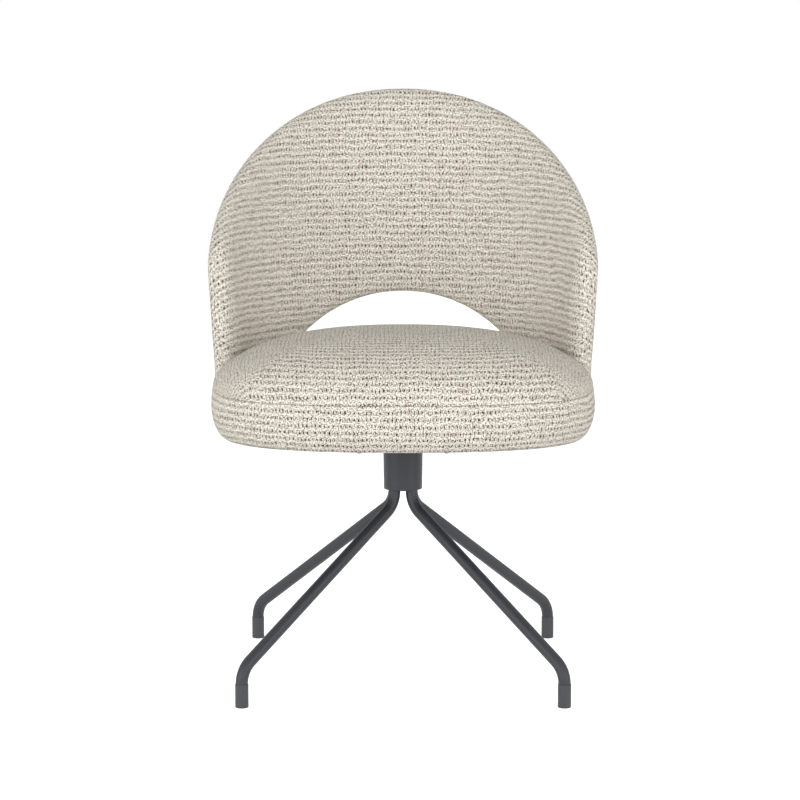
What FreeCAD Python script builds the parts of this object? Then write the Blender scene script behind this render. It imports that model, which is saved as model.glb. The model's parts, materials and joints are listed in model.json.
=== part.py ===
import FreeCAD, Part
import math
import os
from FreeCAD import Vector

# Swivel dining chair, all sizes in millimetres.
# The origin is on the floor on the swivel axis, +Z is up, and the sitter faces -Y.
# A boxed seat cushion and a wrap-around back shell turn on a base of four bent tubes.

# Base: four bent tubes and their caps
foot_spacing = 450.0
tube_diameter = 17.5
tube_wall = 1.5
tube_bend_radius = 36.0
column_tube_radius = 17.8
upper_corner_drop = 38.4
lower_corner_height = 52.3
cap_wall = 0.65
cap_height = 33.0
cap_floor = 3.0
cap_edge_radius = 1.2

# Column: hub disc, bearing housing and sleeve, which reaches below and above the hub disc
hub_height = 290.0
hub_thickness = 4.0
hub_bore = 11.0
sleeve_drop = 17.5
sleeve_rise = 47.5
sleeve_bottom_diameter = 56.0
sleeve_taper_degrees = 0.8
sleeve_wall = 1.2
sleeve_edge_radius = 0.8
housing_diameter = 50.0
housing_wall = 3.5
housing_floor = 4.0
bush_height = 14.0
pin_diameter = 16.0
tail_diameter = 10.0
race_thickness = 3.0
race_bore = 20.0
ball_diameter = 5.0
ball_circle_diameter = 31.0
ball_count = 12
groove_depth = 0.8
cage_thickness = 2.4
collar_diameter = 41.0
collar_thickness = 5.0
tail_washer_diameter = 15.0
tail_washer_thickness = 1.4
clip_thickness = 1.2
clip_groove_depth = 0.7
clip_width = 2.3
clip_mouth = 4.3
tail_end_length = 1.6

# Swivel plate and its fasteners, just clear of the sleeve
plate_gap = 1.5
plate_size = 160.0
plate_thickness = 4.0
plate_corner_radius = 14.0
bolt_spacing = 125.0
bolt_diameter = 8.0
bolt_head_diameter = 14.0
bolt_head_height = 4.4
bolt_length = 35.0
bolt_socket_width = 5.0
bolt_socket_depth = 2.4
bolt_head_edge = 0.8
hexagon_sides = 6
bolt_washer_diameter = 17.0
bolt_washer_thickness = 1.4
tee_flange_diameter = 20.0
tee_flange_thickness = 1.4
tee_barrel_diameter = 10.4
tee_barrel_length = 11.0

# Boards under the cushion
doubler_size = 190.0
doubler_thickness = 18.0
doubler_corner_radius = 16.0
board_thickness = 15.0
board_edge_inset = 29.0
dust_cover_thickness = 1.0
dust_cover_inset = 12.0

# Seat cushion: plan outline, side band and crown
seat_half_width = 274.4
seat_front = 255.0
seat_rear = 188.0
seat_widest = 60.0
front_squareness = 2.5
rear_squareness = 2.3
band_height = 76.5
band_widest_above_underside = 45.0
band_curve_margin = 2.0
band_side_tuck = 26.0
band_front_tuck = 14.0
seam_tuck = 5.5
crown_height = 75.5
crown_flatness = 2.4
crown_shoulder = 1.76
seam_gap = 0.3

# Back shell: a wall bent in plan, leaning back, with an arched top and an arched opening
wall_thickness = 36.0
wall_depth = 250.0
wall_lean_degrees = 11.5
wall_bow_radius = 2400.0
wall_inside_seat = 8.7
wall_upper_flare = 0.0163
wall_lower_flare = 0.034
wall_side_bow_radius = 2600.0
rear_of_wall = 234.7
shoulder_rise = 235.5
arch_inside_wall = 0.9
arch_rise = 235.5
arch_squareness = 2.12
wing_foot_front = -22.0
wing_foot_rise = 2.0
opening_inside_wall = 64.2
opening_rise = 176.1
rim_bulge = 0.86
back_board_thickness = 12.0
back_board_inset = 14.0
rear_panel_inset = 24.0
rear_panel_crown = 1.6
rear_panel_edge_radius = 3.0
beyond_wall = 45.0

# Wing blocks, which carry the back on the seat board
block_length = 84.0
block_height = 26.0
block_width = 40.0
block_rear = 66.0
wing_bolt_diameter = 6.0
wing_bolt_head_diameter = 12.0
wing_bolt_head_height = 3.3
wing_bolt_socket_width = 4.0
wing_bolt_socket_depth = 1.9
wing_bolt_pitch = 44.0
wing_bolt_grip = 20.0
wing_nut_flange_diameter = 17.0
wing_nut_flange_thickness = 1.2
wing_nut_barrel_diameter = 8.0
wing_nut_barrel_length = 8.0
wing_nut_recess = 0.3
block_screw_diameter = 4.5
block_screw_head_diameter = 9.0
block_screw_length = 32.0
block_screw_margin = 10.0
block_screw_pitch = 42.0

# Clearances
slide_clearance = 0.1
ball_clearance = 0.1
soft_clearance = 0.3
layer_clearance = 0.6
wall_clearance = 0.8
edge_clearance = 1.8
hole_clearance = 0.5
seat_clearance = 0.02

# Fineness of the soft forms: arcs in plan, and sections of the back, the band and the crown
arcs_per_quarter = 5
sections_per_side = 8
arch_share = 0.66
band_steps = 9
crown_steps = 10
crown_end_degrees = 88.0

# Heights and places that follow from the sizes above
upper_corner_height = hub_height - upper_corner_drop
sleeve_bottom_height = hub_height - sleeve_drop
sleeve_length = sleeve_drop + sleeve_rise
plate_height = hub_height + sleeve_rise + plate_gap
underside_height = plate_height + plate_thickness + doubler_thickness
board_top_height = underside_height + board_thickness
seam_height = underside_height + band_height
foot_height = underside_height + wing_foot_rise
shoulder_height = underside_height + shoulder_rise
foot_radius = foot_spacing / math.sqrt(2.0)
tube_radius = tube_diameter / 2.0
half_wall = wall_thickness / 2.0
wall_half_width = seat_half_width - wall_inside_seat
arch_half_width = wall_half_width - arch_inside_wall
opening_half_width = wall_half_width - opening_inside_wall
UP = Vector(0, 0, 1)
ORIGIN = Vector(0, 0, 0)


os.makedirs("parts", exist_ok=True)


def save(name, solids):
    """Write one node: a single solid, or a compound of like solids."""
    shape = solids[0] if len(solids) == 1 else Part.makeCompound(solids)
    shape.exportStep(os.path.join("parts", name + ".step"))


def ring(outer_diameter, inner_diameter, bottom, height):
    """A flat ring on the swivel axis, or a disc when it has no bore."""
    disc = Part.makeCylinder(outer_diameter / 2.0, height, Vector(0, 0, bottom))
    if inner_diameter > 0:
        disc = disc.cut(Part.makeCylinder(inner_diameter / 2.0, height, Vector(0, 0, bottom)))
    return disc


def turned(profile):
    """Turn a closed profile of (radius, height) points round the swivel axis."""
    points = [Vector(r, 0, z) for r, z in profile]
    face = Part.Face(Part.makePolygon(points + points[:1]))
    return face.revolve(ORIGIN, UP, 360)


def rounded_plate(size, thickness, corner_radius, bottom):
    """A square plate with round corners, centred on the swivel axis."""
    half = size / 2.0
    plate = Part.makeBox(size, size, thickness, Vector(-half, -half, bottom))
    upright = [e for e in plate.Edges if e.BoundBox.ZLength > thickness / 2.0]
    return plate.makeFillet(corner_radius, upright)


def drilled(shape, places, diameter, bottom, height):
    """Cut round vertical holes at the given places."""
    for x, y in places:
        shape = shape.cut(Part.makeCylinder(diameter / 2.0, height, Vector(x, y, bottom)))
    return shape


def largest(shape):
    """The largest solid that a cut leaves."""
    return max(shape.Solids, key=lambda solid: solid.Volume)


def arc(first, middle, last):
    """An arc through three points."""
    return Part.Arc(first, middle, last).toShape()


def line(first, last):
    """A straight edge between two points."""
    return Part.LineSegment(first, last).toShape()


# Legs

def bent_path(points, radius):
    """Straight runs joined by tangent arcs of one radius at the inner points."""
    edges = []
    start = points[0]
    for before, corner, after in zip(points, points[1:], points[2:]):
        back = (before - corner).normalize()
        ahead = (after - corner).normalize()
        half_angle = back.getAngle(ahead) / 2.0
        reach = radius / math.tan(half_angle)
        enter = corner + back * reach
        leave = corner + ahead * reach
        to_centre = (back + ahead).normalize()
        middle = corner + to_centre * (radius / math.sin(half_angle) - radius)
        edges += [line(start, enter), arc(enter, middle, leave)]
        start = leave
    edges.append(line(start, points[-1]))
    return Part.Wire(edges)


def bar_along(path, radius):
    """A round bar swept along a path that starts straight up or down."""
    start = path.Edges[0].valueAt(path.Edges[0].FirstParameter)
    circle = Part.Wire(Part.makeCircle(radius, start, UP))
    return Part.Wire(path.Edges).makePipeShell([circle], True, True)


def leg(x_sign, y_sign):
    """A tube from the hub disc down the column, out to its foot and down to the cap."""
    def at(radius, height):
        side = radius / math.sqrt(2.0)
        return Vector(x_sign * side, y_sign * side, height)

    path = bent_path([
        at(column_tube_radius, hub_height),
        at(column_tube_radius, upper_corner_height),
        at(foot_radius, lower_corner_height),
        at(foot_radius, cap_floor),
    ], tube_bend_radius)
    return bar_along(path, tube_radius).cut(bar_along(path, tube_radius - tube_wall))


def foot_cap(x_sign, y_sign):
    """A cup pushed over the end of the tube, with a rounded floor edge."""
    cup = Part.makeCylinder(tube_radius + cap_wall, cap_height)
    floor_edge = [e for e in cup.Edges if e.BoundBox.ZMax < cap_edge_radius]
    cup = cup.makeFillet(cap_edge_radius, floor_edge)
    cup = cup.cut(Part.makeCylinder(tube_radius + seat_clearance, cap_height, Vector(0, 0, cap_floor)))
    side = foot_spacing / 2.0
    cup.translate(Vector(x_sign * side, y_sign * side, 0))
    return cup


for end, y_sign in (("front", -1), ("rear", 1)):
    for hand, x_sign in (("left", -1), ("right", 1)):
        save("leg_" + end + "_" + hand, [leg(x_sign, y_sign)])
        save("foot_cap_" + end + "_" + hand, [foot_cap(x_sign, y_sign)])


# Column: hub disc, housing, bush, bearing and sleeve

hub_top = hub_height + hub_thickness
housing_floor_top = hub_top + housing_floor
bush_top = housing_floor_top + bush_height
lower_race_top = bush_top + race_thickness
ball_radius = ball_diameter / 2.0
ball_centre_height = lower_race_top + ball_radius + ball_clearance - groove_depth
upper_race_bottom = 2.0 * ball_centre_height - lower_race_top
upper_race_top = upper_race_bottom + race_thickness
collar_top = upper_race_top + collar_thickness
housing_bore = housing_diameter - 2.0 * housing_wall
race_diameter = housing_bore - 2.0 * slide_clearance
washer_top = hub_height - slide_clearance
clip_top = washer_top - tail_washer_thickness - slide_clearance


def sleeve_radius_at(height):
    """The sleeve's outer radius, which grows upwards."""
    rise = height - sleeve_bottom_height
    return sleeve_bottom_diameter / 2.0 + rise * math.tan(math.radians(sleeve_taper_degrees))


def tapered_sleeve():
    """The column sleeve: a tube that widens upwards, with softened outer ends."""
    low = sleeve_radius_at(sleeve_bottom_height)
    high = sleeve_radius_at(sleeve_bottom_height + sleeve_length)
    foot = Vector(0, 0, sleeve_bottom_height)
    outer = Part.makeCone(low, high, sleeve_length, foot)
    outer = outer.makeFillet(sleeve_edge_radius, [e for e in outer.Edges if e.Closed])
    return outer.cut(Part.makeCone(low - sleeve_wall, high - sleeve_wall, sleeve_length, foot))


def bearing_housing():
    """A cup that holds the bush and the thrust bearing, bored for the spindle's tail."""
    outer = housing_diameter / 2.0
    inner = housing_bore / 2.0
    bore = hub_bore / 2.0
    top = upper_race_bottom
    return turned([(bore, hub_top), (outer, hub_top), (outer, top), (inner, top),
                   (inner, housing_floor_top), (bore, housing_floor_top)])


def grooved_race(bottom, groove_height, groove_side):
    """A race washer with a round groove for the balls in one face."""
    race = ring(race_diameter, race_bore, bottom, race_thickness)
    groove = Part.makeTorus(ball_circle_diameter / 2.0, ball_radius + ball_clearance,
                            Vector(0, 0, groove_height), groove_side)
    return race.cut(groove)


def ball_places():
    """Centres of the balls, evenly spaced on their circle."""
    radius = ball_circle_diameter / 2.0
    for k in range(ball_count):
        angle = 2.0 * math.pi * k / ball_count
        yield Vector(radius * math.cos(angle), radius * math.sin(angle), ball_centre_height)


def ball_cage():
    """A flat ring with a pocket for each ball."""
    cage = ring(race_diameter - 2.0 * hole_clearance, race_bore + 2.0 * hole_clearance,
                ball_centre_height - cage_thickness / 2.0, cage_thickness)
    for place in ball_places():
        cage = cage.cut(Part.makeSphere(ball_radius + slide_clearance, place))
    return cage


def spindle():
    """Collar on the bearing, pin in the bush, and a thin tail with a clip groove."""
    pin = pin_diameter / 2.0 - slide_clearance
    tail = tail_diameter / 2.0
    collar = collar_diameter / 2.0
    groove_top = clip_top + slide_clearance / 2.0
    groove_bottom = clip_top - clip_thickness - slide_clearance
    neck = tail - clip_groove_depth
    shoulder = housing_floor_top + slide_clearance
    return turned([(0, groove_bottom - tail_end_length), (tail, groove_bottom - tail_end_length),
                   (tail, groove_bottom), (neck, groove_bottom), (neck, groove_top), (tail, groove_top),
                   (tail, shoulder), (pin, shoulder), (pin, upper_race_top), (collar, upper_race_top),
                   (collar, collar_top), (pin, collar_top), (pin, plate_height), (0, plate_height)])


def retaining_clip():
    """A C-shaped spring clip in the spindle's groove."""
    neck = tail_diameter - 2.0 * clip_groove_depth
    bottom = clip_top - clip_thickness
    clip = ring(neck + 2.0 * clip_width, neck + 2.0 * seat_clearance, bottom, clip_thickness)
    return clip.cut(Part.makeBox(neck, clip_mouth, clip_thickness, Vector(0, -clip_mouth / 2.0, bottom)))


hub_diameter = 2.0 * (sleeve_radius_at(hub_height) - sleeve_wall - slide_clearance)
bush_diameter = housing_bore - 2.0 * seat_clearance
save("hub_disc", [ring(hub_diameter, hub_bore, hub_height, hub_thickness)])
save("column_sleeve", [tapered_sleeve()])
save("bearing_housing", [bearing_housing()])
save("spindle_bush", [ring(bush_diameter, pin_diameter, housing_floor_top, bush_height)])
save("lower_race", [grooved_race(bush_top, ball_centre_height, UP)])
save("upper_race", [grooved_race(upper_race_bottom, ball_centre_height, UP)])
save("ball_cage", [ball_cage()])
save("bearing_balls", [Part.makeSphere(ball_radius, place) for place in ball_places()])
save("spindle", [spindle()])
save("tail_washer", [ring(tail_washer_diameter, tail_diameter + 2.0 * slide_clearance,
                          washer_top - tail_washer_thickness, tail_washer_thickness)])
save("retaining_clip", [retaining_clip()])


# Swivel plate and its bolts

bolt_places = [(x * bolt_spacing / 2.0, y * bolt_spacing / 2.0) for x in (-1, 1) for y in (-1, 1)]
bolt_seat_height = plate_height - bolt_washer_thickness


def domed_bolt(diameter, head_diameter, head_height, socket_width, socket_depth, length):
    """A bolt pointing up from the origin: domed head below, hexagon socket, plain shank above."""
    head_radius = head_diameter / 2.0
    dome_height = head_height - bolt_head_edge
    dome_radius = (head_radius ** 2 + dome_height ** 2) / (2.0 * dome_height)
    half_turn = math.asin(head_radius / dome_radius) / 2.0
    halfway = Vector(dome_radius * math.sin(half_turn), 0,
                     dome_radius * (1.0 - math.cos(half_turn)) - head_height)
    rim = Vector(head_radius, 0, 0)
    edge = Vector(head_radius, 0, -bolt_head_edge)
    tip = Vector(0, 0, -head_height)
    outline = Part.Wire([line(ORIGIN, rim), line(rim, edge), arc(edge, halfway, tip), line(tip, ORIGIN)])
    head = Part.Face(outline).revolve(ORIGIN, UP, 360)
    corner_radius = socket_width / math.sqrt(3.0)
    turns = [2.0 * math.pi * k / hexagon_sides for k in range(hexagon_sides + 1)]
    corners = [Vector(corner_radius * math.cos(t), corner_radius * math.sin(t), -head_height)
               for t in turns]
    socket = Part.Face(Part.makePolygon(corners)).extrude(UP * socket_depth)
    return head.cut(socket).fuse(Part.makeCylinder(diameter / 2.0, length)).removeSplitter()


def tee_nut(flange_diameter, flange_thickness, barrel_diameter, barrel_length, bore):
    """A tee nut with its flange top at the origin and its barrel pointing down."""
    flange = Part.makeCylinder(flange_diameter / 2.0, flange_thickness, Vector(0, 0, -flange_thickness))
    barrel_bottom = -flange_thickness - barrel_length
    barrel = Part.makeCylinder(barrel_diameter / 2.0, barrel_length, Vector(0, 0, barrel_bottom))
    hole = Part.makeCylinder(bore / 2.0, -barrel_bottom, Vector(0, 0, barrel_bottom))
    return flange.fuse(barrel).cut(hole)


def moved(shape, x, y, z):
    """A copy of a shape moved to a place."""
    copy = shape.copy()
    copy.translate(Vector(x, y, z))
    return copy


plate = rounded_plate(plate_size, plate_thickness, plate_corner_radius, plate_height)
plate = drilled(plate, bolt_places, bolt_diameter + 2.0 * hole_clearance, plate_height, plate_thickness)
bolt = domed_bolt(bolt_diameter, bolt_head_diameter, bolt_head_height, bolt_socket_width,
                  bolt_socket_depth, bolt_length)
nut = tee_nut(tee_flange_diameter, tee_flange_thickness, tee_barrel_diameter, tee_barrel_length,
              bolt_diameter + 2.0 * seat_clearance)
washer = ring(bolt_washer_diameter, bolt_diameter + hole_clearance, 0, bolt_washer_thickness)
save("swivel_plate", [plate])
save("plate_bolts", [moved(bolt, x, y, bolt_seat_height) for x, y in bolt_places])
save("plate_washers", [moved(washer, x, y, bolt_seat_height) for x, y in bolt_places])
save("plate_tee_nuts", [moved(nut, x, y, board_top_height) for x, y in bolt_places])


# Back shell: every layer is a loft through sections that fan round the opening

def half_width_at(height):
    """Half the width of the wall's middle surface, which flares upwards."""
    above = height - shoulder_height
    if above > 0.0:
        return wall_half_width + wall_upper_flare * above
    return wall_half_width + wall_lower_flare * above - above ** 2 / (2.0 * wall_side_bow_radius)


def centre_at(height):
    """How far behind the swivel axis the wall's half oval has its centre: it leans and bows back."""
    above = height - shoulder_height
    lean = above * math.tan(math.radians(wall_lean_degrees))
    return rear_of_wall - wall_depth + lean + above ** 2 / (2.0 * wall_bow_radius)


def wall_point(turn, height, outward):
    """A point of the wall: turn is the plan angle from the rear, outward the distance off its middle."""
    across = half_width_at(height)
    normal = Vector(wall_depth * math.sin(turn), across * math.cos(turn), 0).normalize()
    middle = Vector(across * math.sin(turn), centre_at(height) + wall_depth * math.cos(turn), height)
    return middle + normal * outward


def rim_place(share):
    """Plan angle and height of the rim's middle, from the top (0) to a wing's foot (1)."""
    if share <= arch_share:
        angle = math.pi / 2.0 * share / arch_share
        across = arch_half_width * math.sin(angle) ** (2.0 / arch_squareness)
        height = shoulder_height + arch_rise * max(math.cos(angle), 0.0) ** (2.0 / arch_squareness)
        return math.asin(min(across / half_width_at(height), 1.0)), height
    down = (share - arch_share) / (1.0 - arch_share)
    height = shoulder_height + down * (foot_height - shoulder_height)
    shoulder_turn = math.asin(arch_half_width / half_width_at(shoulder_height))
    shoulder_y = centre_at(shoulder_height) + wall_depth * math.cos(shoulder_turn)
    forward = shoulder_y + down * (wing_foot_front - shoulder_y)
    return math.acos((forward - centre_at(height)) / wall_depth), height


def opening_place(share):
    """Plan angle and height of the opening's edge, from its top (0) to a wing's foot (1)."""
    angle = math.pi / 2.0 * share
    across = (opening_half_width + half_wall) * math.sin(angle)
    height = foot_height + (opening_rise + half_wall) * math.cos(angle)
    return math.asin(across / half_width_at(height)), height


def wall_sections(outline):
    """Wires of one layer, from wing foot to wing foot, each drawn by outline(place, length)."""
    wires = []
    for k in range(-sections_per_side, sections_per_side + 1):
        share = abs(k) / sections_per_side
        side = -1.0 if k < 0 else 1.0
        inner_turn, inner_height = opening_place(share)
        outer_turn, outer_height = rim_place(share)
        rise = outer_height - inner_height
        run = (outer_turn - inner_turn) * wall_depth
        length = math.hypot(rise, run)

        def place(along, outward):
            part = along / length
            turn = side * (inner_turn + part * (outer_turn - inner_turn))
            return wall_point(turn, inner_height + part * rise, outward)

        wires.append(Part.Wire(outline(place, length)))
    return wires


def wall_loft(outline):
    """One layer of the back as a smooth solid."""
    return Part.makeLoft(wall_sections(outline), True, False)


def wall_and_beyond(place, length):
    """Outline of the wall with its clearance, and of all that lies outside it."""
    half = half_wall + wall_clearance
    bulge = half_wall * rim_bulge + edge_clearance
    slant = math.sqrt(0.5)
    far = half + beyond_wall
    a, b = place(0, -half), place(length, -half)
    c, d = place(length + bulge, 0), place(length + bulge, far)
    e, f = place(-bulge, far), place(-bulge, 0)
    return [arc(a, place(length / 2.0, -half), b),
            arc(b, place(length + bulge * slant, -half * slant), c), line(c, d),
            arc(d, place(length / 2.0, far), e), line(e, f),
            arc(f, place(-bulge * slant, -half * slant), a)]


half_board = back_board_thickness / 2.0
board_reach = half_wall - back_board_inset
panel_inset = rear_panel_inset - half_wall


def board_layer(place, length):
    """Outline of the bent-ply board."""
    low, high = -board_reach, length + board_reach
    a, b = place(low, -half_board), place(high, -half_board)
    c, d = place(high, half_board), place(low, half_board)
    return [arc(a, place(length / 2.0, -half_board), b), line(b, c),
            arc(c, place(length / 2.0, half_board), d), line(d, a)]


def inner_layer(place, length):
    """Outline of the inner pad: it wraps round both edges of the board and laps onto its rear face."""
    skin = half_wall
    board = half_board + layer_clearance
    bulge = half_wall * rim_bulge
    low, high = -board_reach - edge_clearance, length + board_reach + edge_clearance
    low_lap, high_lap = panel_inset, length - panel_inset
    middle = length / 2.0
    corners = [place(length, skin), place(high_lap, skin), place(high_lap, board),
               place(high, board), place(high, -board)]
    others = [place(low, -board), place(low, board), place(low_lap, board),
              place(low_lap, skin), place(0, skin)]
    edges = [arc(place(0, -skin), place(middle, -skin), place(length, -skin)),
             arc(place(length, -skin), place(length + bulge, 0), corners[0])]
    edges += [line(p, q) for p, q in zip(corners, corners[1:])]
    edges.append(arc(corners[-1], place(middle, -board), others[0]))
    edges += [line(p, q) for p, q in zip(others, others[1:])]
    edges.append(arc(others[-1], place(-bulge, 0), place(0, -skin)))
    return edges


def rear_layer(place, length):
    """Outline of the rear panel, which fills the space that the inner pad's laps leave."""
    low = panel_inset + layer_clearance
    high = length - low
    board = half_board + layer_clearance
    skin = half_wall
    edge = rear_panel_edge_radius
    corner = edge * (1.0 - math.sqrt(0.5))
    a, b = place(low, board), place(high, board)
    c, d = place(high, skin - edge), place(high - edge, skin)
    e, f = place(low + edge, skin), place(low, skin - edge)
    return [arc(a, place(length / 2.0, board), b), line(b, c),
            arc(c, place(high - corner, skin - corner), d),
            arc(d, place(length / 2.0, skin + rear_panel_crown), e),
            arc(e, place(low + corner, skin - corner), f), line(f, a)]


clear_of_wall = wall_loft(wall_and_beyond)
back_board = wall_loft(board_layer)
inner_pad = wall_loft(inner_layer)
rear_panel = wall_loft(rear_layer)


# Seat: boards, cushion and the blocks that carry the back

def oval_quarter(across, along, squareness, start, end):
    """Points of a squared oval from one angle to another, 0 at +-Y and 90 degrees at the side."""
    steps = 2 * arcs_per_quarter
    for k in range(steps + 1):
        angle = math.radians(start + (end - start) * k / steps)
        sine, cosine = math.sin(angle), math.cos(angle)
        reach = (abs(sine) ** squareness + abs(cosine) ** squareness) ** (-1.0 / squareness)
        yield across * reach * sine, along * reach * cosine


def seat_outline(height, side_tuck, end_tuck, share=1.0):
    """The seat's plan at a height, as arcs, drawn in by the tucks and shrunk to a share of its size."""
    across = (seat_half_width - side_tuck) * share
    front = (seat_front - seat_widest - end_tuck) * share
    rear = (seat_rear + seat_widest - end_tuck) * share
    right_front = list(oval_quarter(across, -front, front_squareness, 0.0, 90.0))
    right_rear = list(oval_quarter(across, rear, rear_squareness, 90.0, 0.0))
    right = right_front + right_rear[1:]
    left = [(-x, y) for x, y in reversed(right[:-1])]
    points = [Vector(x, y - seat_widest, height) for x, y in right + left]
    starts = range(0, len(points) - 1, 2)
    return Part.Wire([arc(points[k], points[k + 1], points[k + 2]) for k in starts])


def band_sections():
    """Plans of the side band: tucked under at the bottom, widest above it, drawn in at the seam."""
    wires = []
    for k in range(band_steps + 1):
        height = band_height * (1.0 - math.cos(math.pi / 2.0 * k / band_steps))
        level = underside_height + height
        if height < band_widest_above_underside:
            below = band_widest_above_underside - height
            depth = below / (band_widest_above_underside + band_curve_margin)
            tuck = 1.0 - math.sqrt(1.0 - depth ** 2)
            wires.append(seat_outline(level, band_side_tuck * tuck, band_front_tuck * tuck))
        else:
            rise = (height - band_widest_above_underside) / (band_height - band_widest_above_underside)
            tuck = seam_tuck * rise ** 2
            wires.append(seat_outline(level, tuck, tuck))
    return wires


def crown_sections():
    """Plans of the crown, from the seam up to a nearly level top."""
    wires = []
    for k in range(crown_steps + 1):
        share = math.cos(math.radians(crown_end_degrees) * k / crown_steps)
        rise = crown_height * (1.0 - share ** crown_flatness) ** (1.0 / crown_shoulder)
        wires.append(seat_outline(seam_height + seam_gap + rise, seam_tuck, seam_tuck, share))
    return wires


def slab(inset, bottom, thickness):
    """A flat board with the seat's plan, inset from its widest outline."""
    return Part.Face(seat_outline(bottom, inset, inset)).extrude(UP * thickness)


def cushion_parts():
    """The foam band with its side cover, and the crowned top that is sewn to it along the seam."""
    band = Part.makeLoft(band_sections(), True, False)
    crown = Part.makeLoft(crown_sections(), True, False)
    return band, largest(crown.cut(clear_of_wall))


# Wing blocks and the bolts that hold the back

block_inner = half_width_at(foot_height) - half_wall - block_width
block_middle_height = board_top_height + block_height / 2.0
foot_turn = (opening_place(1.0)[0] + rim_place(1.0)[0]) / 2.0
wing_bolt_turns = [foot_turn + step * wing_bolt_pitch / 2.0 / wall_depth for step in (-1, 1)]


def block_box(side, spare):
    """The box of a wing block, larger by a spare, running outwards through the wall."""
    depth = block_width + wall_thickness
    near = block_inner - spare
    x = near if side > 0 else -near - depth
    corner = Vector(x, block_rear - block_length - spare, board_top_height)
    return Part.makeBox(depth, block_length + 2.0 * spare, block_height + spare, corner)


def on_wing(shape, turn, outward):
    """A copy of an upright shape, with its +Z turned to point out of the wall at a wing's bolt."""
    middle = wall_point(turn, block_middle_height, 0.0)
    seat = wall_point(turn, block_middle_height, outward)
    outwards = wall_point(turn, block_middle_height, 1.0) - middle
    copy = shape.copy()
    copy.Placement = FreeCAD.Placement(seat, FreeCAD.Rotation(UP, outwards))
    return copy


def wing_hole(diameter, start, length, turn):
    """A round hole across the wall at a wing's bolt."""
    return on_wing(Part.makeCylinder(diameter / 2.0, length), turn, start)


def countersunk_screw():
    """A wood screw pointing up from the origin, its flat head flush below."""
    shank = block_screw_diameter / 2.0
    head = block_screw_head_diameter / 2.0
    point_length = 2.0 * shank
    return turned([(0, 0), (head, 0), (shank, head - shank), (shank, block_screw_length - point_length),
                   (0, block_screw_length)])


bolt_seat = -half_wall - wing_bolt_grip
wing_bolt_length = half_board - bolt_seat - wing_nut_recess
nut_seat = half_board - wing_nut_recess
wing_turns = [side * turn for side in (-1.0, 1.0) for turn in wing_bolt_turns]
screw_across = block_inner + block_screw_margin
screw_rear = block_rear - block_screw_margin
screw_places = [(side * screw_across, screw_rear - step * block_screw_pitch)
                for side in (-1.0, 1.0) for step in (0, 1)]
screw = countersunk_screw()
wing_bolt = domed_bolt(wing_bolt_diameter, wing_bolt_head_diameter, wing_bolt_head_height,
                       wing_bolt_socket_width, wing_bolt_socket_depth, wing_bolt_length)
wing_nut = tee_nut(wing_nut_flange_diameter, wing_nut_flange_thickness, wing_nut_barrel_diameter,
                   wing_nut_barrel_length, wing_bolt_diameter + 2.0 * seat_clearance)

shank_hole = wing_bolt_diameter + 2.0 * slide_clearance
head_hole = wing_bolt_head_diameter + 2.0 * hole_clearance
pad_hole = wing_bolt_diameter + 2.0 * hole_clearance
barrel_hole = wing_nut_barrel_diameter + 2.0 * seat_clearance
flange_hole = wing_nut_flange_diameter + 2.0 * seat_clearance

for name, side in (("wing_block_left", -1), ("wing_block_right", 1)):
    block = largest(block_box(side, 0.0).cut(clear_of_wall))
    for turn in wing_bolt_turns:
        block = block.cut(wing_hole(shank_hole, bolt_seat, wing_bolt_length, side * turn))
        block = block.cut(wing_hole(head_hole, bolt_seat - block_width, block_width, side * turn))
    for x, y in screw_places:
        block = block.cut(moved(screw, x, y, underside_height))
    save(name, [block])

for turn in wing_turns:
    inner_pad = inner_pad.cut(wing_hole(pad_hole, -wall_thickness, wall_thickness, turn))
    back_board = back_board.cut(wing_hole(barrel_hole, -wall_thickness, 2.0 * wall_thickness, turn))
    back_board = back_board.cut(wing_hole(flange_hole, nut_seat - wing_nut_flange_thickness,
                                          wall_thickness, turn))

save("wing_bolts", [on_wing(wing_bolt, turn, bolt_seat) for turn in wing_turns])
save("wing_tee_nuts", [on_wing(wing_nut, turn, nut_seat) for turn in wing_turns])
save("block_screws", [moved(screw, x, y, underside_height) for x, y in screw_places])
save("back_board", [back_board])
save("back_inner_pad", [inner_pad])
save("back_rear_panel", [rear_panel])


# Seat boards, dust cover and cushion

plate_top = plate_height + plate_thickness
doubler = rounded_plate(doubler_size, doubler_thickness, doubler_corner_radius, plate_top)
doubler = drilled(doubler, bolt_places, bolt_diameter + 2.0 * hole_clearance, plate_top, doubler_thickness)
seat_board = largest(slab(board_edge_inset, underside_height, board_thickness).cut(clear_of_wall))
seat_board = drilled(seat_board, bolt_places, tee_barrel_diameter + 2.0 * seat_clearance, underside_height,
                     board_thickness)
seat_board = drilled(seat_board, bolt_places, tee_flange_diameter + 2.0 * seat_clearance,
                     board_top_height - tee_flange_thickness, tee_flange_thickness)
for x, y in screw_places:
    seat_board = seat_board.cut(moved(screw, x, y, underside_height))
board_room = slab(board_edge_inset - soft_clearance, underside_height,
                  board_thickness + soft_clearance)
doubler_room = rounded_plate(doubler_size + 2.0 * soft_clearance, doubler_thickness,
                             doubler_corner_radius + soft_clearance, plate_top)
dust_cover = slab(board_edge_inset + dust_cover_inset, underside_height - dust_cover_thickness,
                  dust_cover_thickness)
band, crown = cushion_parts()
band = band.cut(board_room)
for side in (-1, 1):
    band = band.cut(block_box(side, soft_clearance))
save("seat_doubler", [doubler])
save("seat_board", [seat_board])
save("dust_cover", [largest(dust_cover.cut(clear_of_wall).cut(doubler_room))])
save("seat_band", [largest(band.cut(clear_of_wall))])
save("seat_crown", [crown])
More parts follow.
